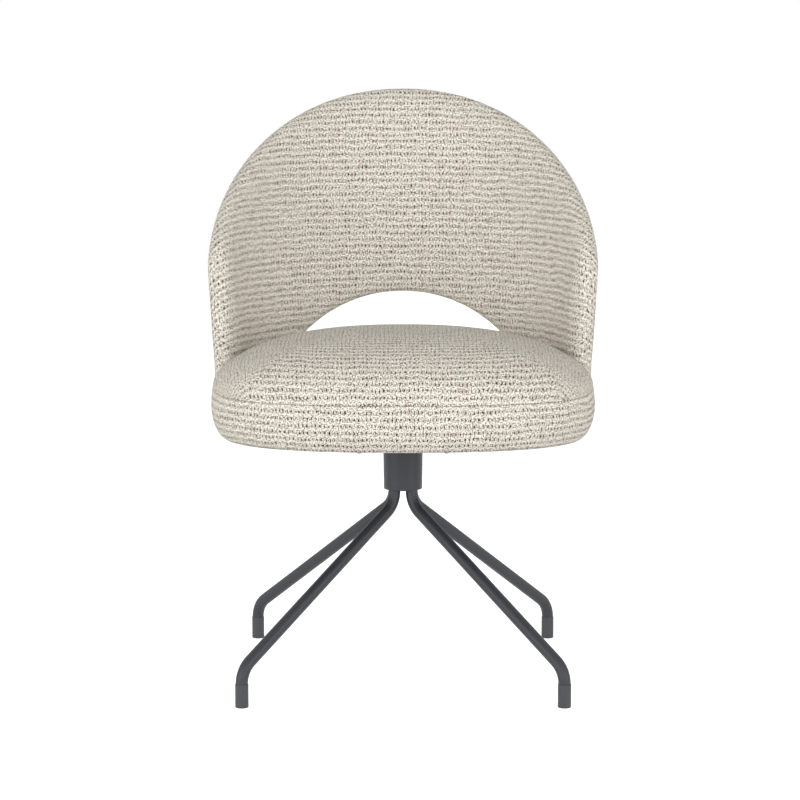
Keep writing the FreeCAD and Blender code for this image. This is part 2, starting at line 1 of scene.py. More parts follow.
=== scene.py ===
# %% [markdown]
# # A swivel dining chair in cream tweed
# A boxed seat cushion and a wrap-around back turn together on a base of four bent steel tubes.
# The solid model already holds every hard piece at its real size, so this script loads it as a
# fixed frame and adds what makes the chair look like one: the upholstery and all the finishes.

# %% The solid model, loaded as a fixed frame
import json
import math
import bmesh
import bpy
import numpy as np
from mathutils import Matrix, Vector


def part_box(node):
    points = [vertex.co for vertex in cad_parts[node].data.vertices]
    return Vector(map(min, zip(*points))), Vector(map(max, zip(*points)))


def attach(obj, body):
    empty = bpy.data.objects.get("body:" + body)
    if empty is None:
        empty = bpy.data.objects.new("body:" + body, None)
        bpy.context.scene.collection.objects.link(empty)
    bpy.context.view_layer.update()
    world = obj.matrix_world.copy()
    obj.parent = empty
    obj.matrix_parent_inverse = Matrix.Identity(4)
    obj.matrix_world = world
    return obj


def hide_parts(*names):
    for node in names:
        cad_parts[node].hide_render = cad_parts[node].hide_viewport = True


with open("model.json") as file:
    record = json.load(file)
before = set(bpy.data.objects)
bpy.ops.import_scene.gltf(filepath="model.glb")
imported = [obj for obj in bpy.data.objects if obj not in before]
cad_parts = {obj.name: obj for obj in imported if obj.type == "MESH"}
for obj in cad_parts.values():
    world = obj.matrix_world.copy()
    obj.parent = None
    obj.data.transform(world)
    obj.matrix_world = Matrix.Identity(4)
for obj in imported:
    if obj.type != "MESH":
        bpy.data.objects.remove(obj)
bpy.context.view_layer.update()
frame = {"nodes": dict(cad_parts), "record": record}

MM = 0.001

# %% [markdown]
# ## Camera
# The photograph was taken from far in front with a long lens, slightly above the seat and looking a
# little down. The four feet stand on a square, and that square fixed the height, distance and lens.
# A Blender camera looks along its own -Z, so it is turned up by 90 degrees less the downward pitch.

# %% The camera of the photograph
def added(name, data):
    """A new object in the scene."""
    made = bpy.data.objects.new(name, data)
    bpy.context.scene.collection.objects.link(made)
    return made


CAMERA_PLACE = (-0.0044, -3.9988, 0.9337)
CAMERA_PITCH_DEGREES = 7.565
CAMERA_LENS_MM = 124.6

camera_data = bpy.data.cameras.new("camera")
camera_data.lens = CAMERA_LENS_MM
camera_data.sensor_width = 36.0
camera = added("camera", camera_data)
camera.location = CAMERA_PLACE
camera.rotation_euler = (math.radians(90.0 - CAMERA_PITCH_DEGREES), 0.0, 0.0)
bpy.context.scene.camera = camera
bpy.context.scene.view_settings.view_transform = "Standard"

# %% [markdown]
# ## Colours and nodes
# Colours are noted as sRGB hex values, as a paint chart gives them, and a shader wants linear light.
# One function converts them. Another adds any shader node, sets it and links its inputs, and a few
# more name the usual steps, so a finish reads as a list of steps.

# %% Helpers for every finish
def linear(hex_colour):
    """sRGB to linear: v / 12.92 below 0.04045, and ((v + 0.055) / 1.055) to the power 2.4 above."""
    values = np.array([int(hex_colour[k:k + 2], 16) for k in (1, 3, 5)]) / 255.0
    values = np.where(values <= 0.04045, values / 12.92, ((values + 0.055) / 1.055) ** 2.4)
    return (*(float(value) for value in values), 1.0)


def plug(tree, socket, value):
    """Link an input to another node's socket, or set it where a value is given."""
    if isinstance(value, bpy.types.NodeSocket):
        tree.links.new(value, socket)
    else:
        socket.default_value = value


def node(tree, kind, inputs, out=0, **settings):
    """Add one node with its settings and inputs, and give back one of its outputs."""
    made = tree.nodes.new("ShaderNode" + kind)
    for name, value in settings.items():
        setattr(made, name, value)
    for name, value in inputs.items():
        plug(tree, made.inputs[name], value)
    return made.outputs[out]


def maths(tree, operation, *values):
    """One sum over sockets or numbers."""
    return node(tree, "Math", dict(enumerate(values)), operation=operation)


def between(tree, value, low, high, start, end):
    """Map low to start and high to end, and stay at the ends beyond them."""
    return node(tree, "MapRange", {0: value, 1: low, 2: high, 3: start, 4: end})


def noise(tree, place, scale, detail, out=0, **inputs):
    """Noise with so many lumps to the metre."""
    return node(tree, "TexNoise", {"Vector": place, "Scale": scale, "Detail": detail, **inputs}, out=out)


def bumped(tree, height, strength, distance):
    """A normal that is tilted by a height, where 1 stands for the distance in millimetres."""
    return node(tree, "Bump", {"Height": height, "Strength": strength, "Distance": distance * MM})


def mixed(tree, factor, low, high):
    """A colour between two others; each is a hex value, a linear colour or a socket."""
    low, high = (linear(colour) if isinstance(colour, str) else colour for colour in (low, high))
    return node(tree, "Mix", {0: factor, 6: low, 7: high}, out=2, data_type="RGBA")


def dress(tree, shader, **inputs):
    """Link or set inputs of a shader; an underscore in a name stands for a space."""
    for name, value in inputs.items():
        plug(tree, shader.inputs[name.replace("_", " ")], value)


def new_material(name):
    """An empty material: its node tree and its Principled shader, already wired to the output."""
    material = bpy.data.materials.new(name)
    material.use_nodes = True
    tree = material.node_tree
    return material, tree, tree.nodes["Principled BSDF"]


# %% [markdown]
# ## The tweed
# The cover is a heavy upholstery tweed. Fat cream yarns float over pairs of threads and leave dark
# gaps between them: short upright dashes, one every 6 mm, in rows 10 mm apart, with a plain pale
# yarn running across between the rows. No two gaps are alike, because the yarn is spun thick and
# thin and flecked. The weave is drawn in the piece's own UV map, whose unit is the metre, so a yarn
# keeps its real size on every piece. Each cell of the weave gets its own random numbers from its
# row and column, and a noise as fine as the yarn's own slubs breaks up all the edges.

# %% The tweed's material
DASH_PITCH = 5.9 * MM
ROW_PITCH = 9.8 * MM
YARN_CREAM = "#F6F1E4"
YARN_PALE = "#FDFBF5"
YARN_SHADE = "#B9B0A3"
YARN_ROSE = "#D3BFB3"
GAP_SHADOW_AND_FLECK_DARK = "#2B2621"
SLUBS_PER_METRE = 500.0
THREAD_DRIFTS = ((32.0, 7.0 * MM), (300.0, 3.4 * MM))
# Marks, in shares of a cell: the middle, then the half widths where a mark is full and has faded
GAP_ACROSS, GAP_UP = (0.5, 0.08, 0.21), (0.36, 0.1, 0.25)
THIN_ACROSS, THIN_UP = (0.5, 0.02, 0.13), (0.34, 0.08, 0.24)
# BELOW_UP and ABOVE_UP place the thin painted shadow lines along the yarn edges
BELOW_UP, ABOVE_UP, PALE_UP = (0.11, 0.02, 0.1), (0.63, 0.02, 0.1), (0.85, 0.08, 0.2)


def stripe(tree, value, centre, inner, outer):
    """1 within inner of the centre, fading smoothly to 0 at outer."""
    off = maths(tree, "SUBTRACT", value, centre)
    off = maths(tree, "ABSOLUTE", off)
    return node(tree, "MapRange", {0: off, 1: inner, 2: outer, 3: 1.0, 4: 0.0},
                interpolation_type="SMOOTHSTEP")


def tweed(name, across=1.0, depth=1.0):
    """Matte woven yarn with a faint sheen; across scales the dash pitch, and depth the darkness."""
    material, tree, shader = new_material(name)

    def times(first, second):
        return maths(tree, "MULTIPLY", first, second)

    def larger(first, second):
        return maths(tree, "MAXIMUM", first, second)

    # Threads wander: a slow drift and a quick wobble move the place in the weave
    uv = node(tree, "UVMap", {}, uv_map="weave")
    place = uv
    for scale, distance in THREAD_DRIFTS:
        shift = noise(tree, uv, scale, 1.0, out=1)
        shift = node(tree, "VectorMath", {0: shift, 1: (0.5, 0.5, 0.5)}, operation="SUBTRACT")
        shift = node(tree, "VectorMath", {0: shift, 3: distance}, operation="SCALE")
        place = node(tree, "VectorMath", {0: place, 1: shift}, operation="ADD")
    cells = node(tree, "VectorMath", {0: place, 1: (1.0 / (DASH_PITCH * across), 1.0 / ROW_PITCH, 1.0)},
                 operation="MULTIPLY")
    cell = node(tree, "VectorMath", {0: cells}, operation="FLOOR")
    inside = node(tree, "VectorMath", {0: cells}, operation="FRACTION")
    chance = node(tree, "TexWhiteNoise", {"Vector": cell}, noise_dimensions="2D")
    colours = node(tree, "TexWhiteNoise", {"Vector": cell}, out=1, noise_dimensions="2D")
    second, third = (node(tree, "SeparateXYZ", {0: colours}, out=k) for k in (0, 1))
    x, y = (node(tree, "SeparateXYZ", {0: inside}, out=k) for k in (0, 1))

    # An upright gap in each cell, moved and weakened at random, and a thinner one between cells
    aside = between(tree, second, 0.0, 1.0, -0.1, 0.1)
    moved = maths(tree, "ADD", x, aside)
    gap = times(stripe(tree, moved, *GAP_ACROSS), stripe(tree, y, *GAP_UP))
    gap = times(gap, between(tree, chance, 0.0, 0.6, 0.45, 1.2))
    off_cell = maths(tree, "SUBTRACT", x, 0.5)
    off_cell = maths(tree, "ABSOLUTE", off_cell)
    thin = times(stripe(tree, off_cell, *THIN_ACROSS), stripe(tree, y, *THIN_UP))
    thin = times(thin, between(tree, third, 0.3, 0.8, 0.0, 0.8))

    # Painted shadow lines below and above the gaps, broken into uneven lengths
    patches = noise(tree, place, 110.0, 1.0)
    below = times(stripe(tree, y, *BELOW_UP), between(tree, patches, 0.52, 0.64, 0.0, 0.45))
    above = times(stripe(tree, y, *ABOVE_UP), between(tree, patches, 0.36, 0.48, 0.4, 0.0))
    dark = larger(larger(gap, thin), larger(below, above))

    # Slubs: light and dark flecks as coarse as the yarn's own lumps
    slubs = noise(tree, uv, SLUBS_PER_METRE, 2.0, Roughness=0.6)
    fibres = noise(tree, uv, 3.0 * SLUBS_PER_METRE, 1.0)
    dark = larger(dark, between(tree, slubs, 0.54, 0.66, 0.0, 0.8))
    pale = times(stripe(tree, y, *PALE_UP), between(tree, slubs, 0.58, 0.45, 0.0, 0.4))
    yarn = mixed(tree, between(tree, slubs, 0.42, 0.58, 0.0, 1.0), YARN_CREAM, YARN_SHADE)
    yarn = mixed(tree, between(tree, chance, 0.85, 1.0, 0.0, 0.6), yarn, YARN_ROSE)
    yarn = mixed(tree, pale, yarn, YARN_PALE)
    dark = times(dark, depth)
    # The darkest colour fills the gaps, the painted shadow lines and the dark slub flecks alike
    colour = mixed(tree, dark, yarn, GAP_SHADOW_AND_FLECK_DARK)

    # Height: yarns stand up round, gaps lie low, and fibres roughen everything
    low = maths(tree, "SUBTRACT", 1.0, dark)
    height = maths(tree, "MULTIPLY_ADD", fibres, 0.3, low)
    bump = bumped(tree, height, 0.6, 0.9)
    dress(tree, shader, Base_Color=colour, Normal=bump, Roughness=0.95, Specular_IOR_Level=0.1,
          Sheen_Weight=0.06, Sheen_Roughness=0.5)
    return material


seat_tweed = tweed("seat_tweed_wool_blend")
back_tweed = tweed("back_tweed_wool_blend", across=0.915, depth=0.92)
print("tweed cell, mm:", DASH_PITCH / MM, "x", ROW_PITCH / MM)

# %% [markdown]
# ## The hard finishes
# The base is bent steel tube with a matte powder coat: the powder melts into a skin with a very
# fine orange peel, which spreads the highlight. The caps are moulded nylon, the hidden fasteners
# are zinc plated or blackened steel, and the boards are birch plywood with its plies on the edge.
# All of these read Object coordinates, because a solid of the frame has no UV map of its own.

# %% The hard finishes' materials
def powder_coat():
    """Polyester powder coat on steel: dark blue-grey, matte, with a fine orange peel."""
    material, tree, shader = new_material("powder_coated_steel")
    place = node(tree, "TexCoord", {}, out=3)
    peel = noise(tree, place, 700.0, 2.0)
    cloud = noise(tree, place, 30.0, 2.0)
    colour = mixed(tree, cloud, "#2C2E32", "#34363A")
    rough = between(tree, cloud, 0.3, 0.7, 0.42, 0.52)
    bump = bumped(tree, peel, 0.2, 0.15)
    dress(tree, shader, Base_Color=colour, Roughness=rough, Normal=bump, Specular_IOR_Level=0.4)
    return material


def moulded_nylon(name, low_hex, high_hex, roughness):
    """Moulded nylon: an even colour with faint flow marks and a satin skin."""
    material, tree, shader = new_material(name)
    place = node(tree, "TexCoord", {}, out=3)
    flow = noise(tree, place, 60.0, 3.0, Distortion=0.6)
    skin = noise(tree, place, 1500.0, 1.0)
    colour = mixed(tree, flow, low_hex, high_hex)
    rough = between(tree, flow, 0.3, 0.7, roughness - 0.05, roughness + 0.05)
    bump = bumped(tree, skin, 0.15, 0.1)
    dress(tree, shader, Base_Color=colour, Roughness=rough, Normal=bump)
    return material


def turned_steel(name, low_hex, high_hex, roughness, metallic):
    """Turned or plated steel: fine rings round the swivel axis and a slightly cloudy plating."""
    material, tree, shader = new_material(name)
    place = node(tree, "TexCoord", {}, out=3)
    rings = node(tree, "TexWave", {"Vector": place, "Scale": 250.0, "Distortion": 1.5},
                 out=1, wave_type="RINGS", rings_direction="Z")
    cloud = noise(tree, place, 120.0, 3.0)
    colour = mixed(tree, cloud, low_hex, high_hex)
    rough = between(tree, cloud, 0.3, 0.7, roughness - 0.08, roughness + 0.08)
    bump = bumped(tree, rings, 0.1, 0.05)
    dress(tree, shader, Base_Color=colour, Roughness=rough, Normal=bump, Metallic=metallic)
    return material


PLY_THICKNESS = 1.4 * MM


def birch_plywood():
    """Birch plywood: long pale grain on the faces and thin light and dark plies on the edges."""
    material, tree, shader = new_material("birch_plywood")
    place = node(tree, "TexCoord", {}, out=3)
    stretched = node(tree, "Mapping", {"Vector": place, "Scale": (25.0, 260.0, 260.0)})
    grain = noise(tree, stretched, 1.0, 4.0, Distortion=0.4)
    height = node(tree, "SeparateXYZ", {0: place}, out=2)
    plies = maths(tree, "MULTIPLY", height, math.pi / PLY_THICKNESS)
    plies = maths(tree, "SINE", plies)
    plies = between(tree, plies, -0.2, 0.2, 0.0, 0.35)
    colour = mixed(tree, maths(tree, "ADD", grain, plies), "#D9B98A", "#B08A5A")
    bump = bumped(tree, grain, 0.2, 0.2)
    dress(tree, shader, Base_Color=colour, Normal=bump, Roughness=0.7)
    return material


def lining_cloth():
    """Spun-bonded lining: black felted fibres with tiny heat-pressed dimples in a grid."""
    material, tree, shader = new_material("spun_bonded_lining")
    place = node(tree, "TexCoord", {}, out=3)
    fibres = noise(tree, place, 900.0, 3.0, Distortion=1.0)
    dimples = node(tree, "TexVoronoi", {"Vector": place, "Scale": 500.0, "Randomness": 0.15})
    colour = mixed(tree, fibres, "#191919", "#2C2C2D")
    height = maths(tree, "ADD", dimples, fibres)
    bump = bumped(tree, height, 0.4, 0.2)
    dress(tree, shader, Base_Color=colour, Normal=bump, Roughness=0.9)
    return material


coat = powder_coat()
lining = lining_cloth()
finishes = {
    "powder_coat": coat,
    "foot_plastic": moulded_nylon("satin_nylon_caps", "#333538", "#3B3D40", 0.5),
    "nylon": moulded_nylon("natural_nylon", "#CFCBBE", "#DDD9CE", 0.45),
    "zinc_steel": turned_steel("zinc_plated_steel", "#A9ACB0", "#C6C8CA", 0.35, 1.0),
    "black_steel": turned_steel("black_oxide_steel", "#1E1F21", "#2B2C2E", 0.42, 0.6),
    "bearing_steel": turned_steel("ground_bearing_steel", "#B4B5B8", "#CDCED0", 0.22, 1.0),
    "plywood": birch_plywood(),
    "tweed": seat_tweed,
    "lining": lining,
}
slot_of = {part["node"]: part["material_slot"] for part in frame["record"]["subparts"]}

# %% [markdown]
# ## Dressing the solids
# Each solid takes the finish of its material slot. Its mesh is loose triangles, which would show
# as facets on a round tube, and the mesh itself may not be changed. So a small geometry node group
# joins the triangles and smooths every edge that turns by less than 30 degrees, as a modifier.

# %% A finish and smooth shading for every solid
SMOOTH_BELOW_DEGREES = 30.0


def smoothing_group():
    """Geometry nodes: merge by distance, then shade smooth except across sharp edges."""
    group = bpy.data.node_groups.new("smooth_rounds", "GeometryNodeTree")
    group.interface.new_socket("Geometry", in_out="INPUT", socket_type="NodeSocketGeometry")
    group.interface.new_socket("Geometry", in_out="OUTPUT", socket_type="NodeSocketGeometry")
    start = group.nodes.new("NodeGroupInput")
    merge = group.nodes.new("GeometryNodeMergeByDistance")
    merge.inputs["Distance"].default_value = 0.002 * MM
    angle = group.nodes.new("GeometryNodeInputMeshEdgeAngle")
    gentle = group.nodes.new("FunctionNodeCompare")
    gentle.operation = "LESS_THAN"
    gentle.inputs[1].default_value = math.radians(SMOOTH_BELOW_DEGREES)
    faces = group.nodes.new("GeometryNodeSetShadeSmooth")
    edges = group.nodes.new("GeometryNodeSetShadeSmooth")
    edges.domain = "EDGE"
    end = group.nodes.new("NodeGroupOutput")
    group.links.new(start.outputs[0], merge.inputs["Geometry"])
    group.links.new(merge.outputs[0], faces.inputs["Geometry"])
    group.links.new(faces.outputs[0], edges.inputs["Geometry"])
    group.links.new(angle.outputs["Unsigned Angle"], gentle.inputs[0])
    group.links.new(gentle.outputs[0], edges.inputs["Shade Smooth"])
    group.links.new(edges.outputs[0], end.inputs[0])
    return group


smooth_rounds = smoothing_group()
for name, solid in frame["nodes"].items():
    solid.data.materials.clear()
    solid.data.materials.append(finishes[slot_of[name]])
    solid.modifiers.new("smooth", "NODES").node_group = smooth_rounds
print("solids dressed:", len(frame["nodes"]))

# %% [markdown]
# ## Surfaces from arrays
# Every soft piece is a surface worked out with numpy: a grid of points, and for each point its
# place in the cloth, in metres. One function turns such a grid into a mesh with the cloth places as
# its UV map, joins the points that lie on each other where the grid closes, and turns the faces
# outwards.

# %% Meshes from grids
def grid_faces(rows, columns, first=0):
    """The quads of a grid: vertex k has its neighbours at k + 1 and at k + columns."""
    corner = first + (np.arange(rows - 1)[:, None] * columns + np.arange(columns - 1)).ravel()
    return np.stack([corner, corner + 1, corner + columns + 1, corner + columns], axis=1)


def soft_piece(name, grids, material, merge=0.02 * MM, close_ends=False):
    """One mesh from several grids of points and cloth places; close_ends fills the holes left."""
    points = np.concatenate([grid.reshape(-1, 3) for grid, _ in grids])
    weave = np.concatenate([cloth.reshape(-1, 2) for _, cloth in grids])
    firsts = np.cumsum([0] + [grid.shape[0] * grid.shape[1] for grid, _ in grids])
    faces = np.concatenate([grid_faces(grid.shape[0], grid.shape[1], first)
                            for (grid, _), first in zip(grids, firsts)])
    mesh = bpy.data.meshes.new(name)
    mesh.from_pydata(points.tolist(), [], faces.tolist())
    layer = mesh.uv_layers.new(name="weave")
    layer.data.foreach_set("uv", weave[faces.ravel()].astype(np.float32).ravel())
    work = bmesh.new()
    work.from_mesh(mesh)
    bmesh.ops.remove_doubles(work, verts=work.verts, dist=merge)
    bmesh.ops.dissolve_degenerate(work, edges=work.edges, dist=merge / 4.0)
    if close_ends:
        border = [edge for edge in work.edges if edge.is_boundary]
        ends = bmesh.ops.holes_fill(work, edges=border, sides=0)["faces"]
        cloth = work.loops.layers.uv["weave"]
        for face in ends:
            for loop in face.loops:
                loop[cloth].uv = loop.vert.co.xy
        bmesh.ops.triangulate(work, faces=ends)
    bmesh.ops.recalc_face_normals(work, faces=work.faces)
    open_edges = sum(1 for edge in work.edges if len(edge.link_faces) != 2)
    work.to_mesh(mesh)
    work.free()
    mesh.shade_smooth()
    mesh.materials.append(material)
    print(name, "faces", len(mesh.polygons), "open edges", open_edges)
    return added(name, mesh)


def rising(value, low, high):
    """0 up to low, 1 from high on, and 3t^2 - 2t^3 between them."""
    part = np.clip((value - low) / (high - low), 0.0, 1.0)
    return part ** 2 * (3.0 - 2.0 * part)


def walked(line):
    """How far along a line each of its points lies."""
    return np.concatenate([[0.0], np.cumsum(np.linalg.norm(np.diff(line, axis=0), axis=-1))])


def positions(piece):
    """The piece's vertices, as its modifiers leave them if it is an evaluated one, as rows x, y, z."""
    flat = np.zeros(len(piece.data.vertices) * 3, np.float32)
    piece.data.vertices.foreach_get("co", flat)
    return flat.reshape(-1, 3).astype(float)


# %% [markdown]
# ## Stuffing
# A foam cushion in a sewn cover is tight at its seams and swells between them. Blender's cloth
# solver finds that shape: the cover is a cloth, air pressure stands for the foam, and the seams are
# pinned. Gravity is off, and a cap holds every point within a millimetre or two, so the cushion keeps
# its real size. The moved points go back into the mesh, and no cloth is left on the piece.

# %% Stuffing a cover with the cloth solver
CLOTH_FRAMES = 20
CLOTH_PRESSURE = 4.0
CLOTH_TENSION = 25.0
CLOTH_BENDING = 2.0


def stuff(piece, free, cap):
    """Swell a closed cover: free is 1 where it may move and 0 at seams, cap is the furthest move."""
    rest = positions(piece)
    group = piece.vertex_groups.new(name="seams")
    pinned = np.round(1.0 - free, 1)
    for weight in np.unique(pinned):
        group.add(np.flatnonzero(pinned == weight).tolist(), float(weight), "REPLACE")
    cloth = piece.modifiers.new("stuffing", "CLOTH")
    cloth.settings.vertex_group_mass = group.name
    cloth.settings.use_pressure = True
    cloth.settings.uniform_pressure_force = CLOTH_PRESSURE
    cloth.settings.effector_weights.gravity = 0.0
    cloth.settings.tension_stiffness = CLOTH_TENSION
    cloth.settings.bending_stiffness = CLOTH_BENDING
    cloth.collision_settings.use_collision = False
    cloth.point_cache.frame_end = CLOTH_FRAMES
    for number in range(1, CLOTH_FRAMES + 1):
        bpy.context.scene.frame_set(number)
    shown = piece.evaluated_get(bpy.context.evaluated_depsgraph_get())
    step = positions(shown) - rest
    length = np.maximum(np.linalg.norm(step, axis=1, keepdims=True), 1e-9)
    step *= cap * np.tanh(length / cap) / length
    piece.modifiers.remove(cloth)
    piece.vertex_groups.remove(group)
    piece.data.vertices.foreach_set("co", (rest + step).astype(np.float32).ravel())
    piece.data.update()
    bpy.context.scene.frame_set(1)
    print(piece.name, "swelled by up to", round(float(np.linalg.norm(step, axis=1).max()) / MM, 2), "mm")


# %% [markdown]
# ## The back's wall
# The back is a wall 36 mm thick. In plan its middle is half an oval, and that oval leans and bows
# backwards as it rises. Its upper edge is a squared arch that runs down into two wings, and its
# lower edge is an arched opening. Every point of it is told by the plan angle from the rear, the
# height, and the distance off the wall's middle, and both edges are functions of one share that
# runs from the top of the arch to the foot of a wing.

# %% The wall as functions of angle and height
WALL_HALF = 18.0 * MM
WALL_DEPTH = 250.0 * MM
WALL_HALF_WIDTH = 265.7 * MM
UPPER_FLARE = 0.0163
LOWER_FLARE = 0.034
SIDE_BOW_RADIUS = 2600.0 * MM
REAR_OF_WALL = 234.7 * MM
LEAN = math.tan(math.radians(11.5))
BOW_RADIUS = 2400.0 * MM
SHOULDER_HEIGHT = 596.5 * MM
ARCH_HALF_WIDTH = 264.8 * MM
ARCH_RISE = 235.5 * MM
ARCH_SQUARENESS = 2.12
ARCH_SHARE = 0.66
FOOT_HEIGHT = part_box("back_board")[0].z
FOOT_FRONT = -22.0 * MM
# The solid wing's front edge bulges forward above its foot, and the cover follows it
WING_BULGE = 16.0 * MM
BULGE_START = (FOOT_HEIGHT - 8.0 * MM, FOOT_HEIGHT + 32.0 * MM)
BULGE_END = (FOOT_HEIGHT + 52.0 * MM, FOOT_HEIGHT + 97.0 * MM)
OPENING_HALF_WIDTH = 201.5 * MM
OPENING_RISE = 176.1 * MM
RIM_BULGE = 0.86 * WALL_HALF
RIM_SOFTNESS = 22.0 * MM


def half_width_at(height):
    """Half the width of the wall's middle: it flares upwards, and bows in below the shoulder."""
    above = height - SHOULDER_HEIGHT
    flare = np.where(above > 0.0, UPPER_FLARE * above,
                     LOWER_FLARE * above - above ** 2 / (2.0 * SIDE_BOW_RADIUS))
    return WALL_HALF_WIDTH + flare


def centre_at(height):
    """How far back the centre of the half oval lies: a lean plus a bow."""
    above = height - SHOULDER_HEIGHT
    return REAR_OF_WALL - WALL_DEPTH + above * LEAN + above ** 2 / (2.0 * BOW_RADIUS)


def wall_normal(turn, height):
    """The outward direction in plan: (depth sin turn, width cos turn), made a unit long."""
    normal = np.stack([WALL_DEPTH * np.sin(turn), half_width_at(height) * np.cos(turn),
                       np.zeros_like(turn)], axis=-1)
    return normal / np.linalg.norm(normal, axis=-1, keepdims=True)


def wall_point(turn, height, outward):
    """A point of the wall: (width sin turn, centre + depth cos turn, height) plus outward steps."""
    middle = np.stack([half_width_at(height) * np.sin(turn),
                       centre_at(height) + WALL_DEPTH * np.cos(turn), height], axis=-1)
    return middle + wall_normal(turn, height) * outward[..., None]


def wing_edge(height):
    """Plan angle of a wing's front edge: a straight line in height plus a bulge above the foot."""
    shoulder_turn = math.asin(ARCH_HALF_WIDTH / WALL_HALF_WIDTH)
    shoulder_y = centre_at(SHOULDER_HEIGHT) + WALL_DEPTH * math.cos(shoulder_turn)
    down = (SHOULDER_HEIGHT - height) / (SHOULDER_HEIGHT - FOOT_HEIGHT)
    forward = shoulder_y + down * (FOOT_FRONT - shoulder_y)
    forward = forward - WING_BULGE * rising(height, *BULGE_START) * (1.0 - rising(height, *BULGE_END))
    return np.arccos(np.clip((forward - centre_at(height)) / WALL_DEPTH, -1.0, 1.0))


def rim_place(share):
    """Plan angle and height of the rim: a squared arch up to ARCH_SHARE, then a wing's edge."""
    angle = np.pi / 2.0 * np.minimum(share / ARCH_SHARE, 1.0)
    power = 2.0 / ARCH_SQUARENESS
    across = ARCH_HALF_WIDTH * np.sin(angle) ** power
    arch_height = SHOULDER_HEIGHT + ARCH_RISE * np.maximum(np.cos(angle), 0.0) ** power
    arch_turn = np.arcsin(np.minimum(across / half_width_at(arch_height), 1.0))
    down = np.clip((share - ARCH_SHARE) / (1.0 - ARCH_SHARE), 0.0, 1.0)
    wing_height = SHOULDER_HEIGHT + down * (FOOT_HEIGHT - SHOULDER_HEIGHT)
    on_arch = share <= ARCH_SHARE
    return (np.where(on_arch, arch_turn, wing_edge(wing_height)),
            np.where(on_arch, arch_height, wing_height))


def opening_place(share):
    """Plan angle and height of the opening's edge: a quarter oval from its top to a wing's foot."""
    angle = np.pi / 2.0 * share
    across = (OPENING_HALF_WIDTH + WALL_HALF) * np.sin(angle)
    height = FOOT_HEIGHT + (OPENING_RISE + WALL_HALF) * np.cos(angle)
    return np.arcsin(across / half_width_at(height)), height


# %% [markdown]
# ## Covers of the back
# The inner cover is one piece of tweed over foam. It runs over the inner face, round the rim and
# round the opening's edge, and ends in a lap on the rear, where the rear panel is sewn in. So its
# cross-section is a closed loop that grips the board, and the cover is that loop carried from one
# wing's foot over the arch to the other. Round the rim the cloth's own place runs on by the length
# of the curve, so the weave wraps over the edge without stretching, as real cloth does.

# %% Sections of the back, carried from foot to foot
ARCH_STEPS = 232
BOARD_HALF = 6.0 * MM
BOARD_REACH = 4.0 * MM
LAYER_GAP = 0.6 * MM
LAP_WIDTH = 6.0 * MM
LAP_ROLL = 2.5 * MM
PANEL_ROLL = 3.0 * MM
PANEL_CROWN = 1.6 * MM
FOOT_ROLL = 5.0 * MM
FOOT_LIFT_RUN = 6.0 * FOOT_ROLL
FOOT_COVER = 0.6 * MM


def across_wall(signed_share, section):
    """Points and cloth places of a wall piece, as rows along its section and columns of shares.

    A section's point is told by a part of the way from the opening's edge (0) to the rim (1), a
    distance past it, its distance off the wall's middle, and how much further the cloth has run.
    """
    part, past, outward, cloth_extra = section
    share = np.abs(signed_share)[None, :]
    side = np.where(signed_share < 0.0, -1.0, 1.0)[None, :]
    inner_turn, inner_height = opening_place(share)
    outer_turn, outer_height = rim_place(share)
    rise = outer_height - inner_height
    run = outer_turn - inner_turn
    length = np.hypot(rise, run * WALL_DEPTH)
    along = part[:, None] + past[:, None] / length
    cloth = along + cloth_extra[:, None] / length
    turn = inner_turn + along * run
    height = inner_height + along * rise
    lifted = height + FOOT_ROLL * np.exp(-(height - FOOT_HEIGHT) / FOOT_LIFT_RUN)
    points = wall_point(side * turn, lifted, np.broadcast_to(outward[:, None], turn.shape))
    weave = np.stack([side * (inner_turn + cloth * run) * WALL_DEPTH, inner_height + cloth * rise],
                     axis=-1)
    return points, weave


def with_feet(points, weave, middle, cover):
    """Turn both feet under: the loop rolls in by a quarter circle, and its end is closed flat."""
    angle = np.linspace(0.0, np.pi / 2.0, 6)[1:, None]
    keep = 1.0 - FOOT_ROLL * (1.0 - np.cos(angle)) / WALL_HALF
    drop = (FOOT_ROLL + cover) * np.sin(angle)
    feet = []
    for edge, cloth in ((points[:, 0], weave[:, 0]), (points[:, -1], weave[:, -1])):
        turn = np.arctan2(edge[:, 0] / half_width_at(edge[:, 2]),
                          (edge[:, 1] - centre_at(edge[:, 2])) / WALL_DEPTH)
        spine = wall_point(turn, edge[:, 2], np.full_like(turn, middle))
        rings = spine + (edge - spine) * keep[..., None]
        rings[..., 2] = edge[:, 2] - drop
        cloths = np.repeat(cloth[None], len(keep), axis=0)
        cloths[..., 1] -= drop
        feet.append((rings.transpose(1, 0, 2), cloths.transpose(1, 0, 2)))
    return (np.concatenate([feet[0][0][:, ::-1], points, feet[1][0]], axis=1),
            np.concatenate([feet[0][1][:, ::-1], weave, feet[1][1]], axis=1))


def section_of(stretches):
    """Join stretches of a section and close it. A single number stands for the whole stretch."""
    rows = np.concatenate([np.stack(np.broadcast_arrays(*stretch), axis=1) for stretch in stretches])
    return np.concatenate([rows, rows[:1]]).T


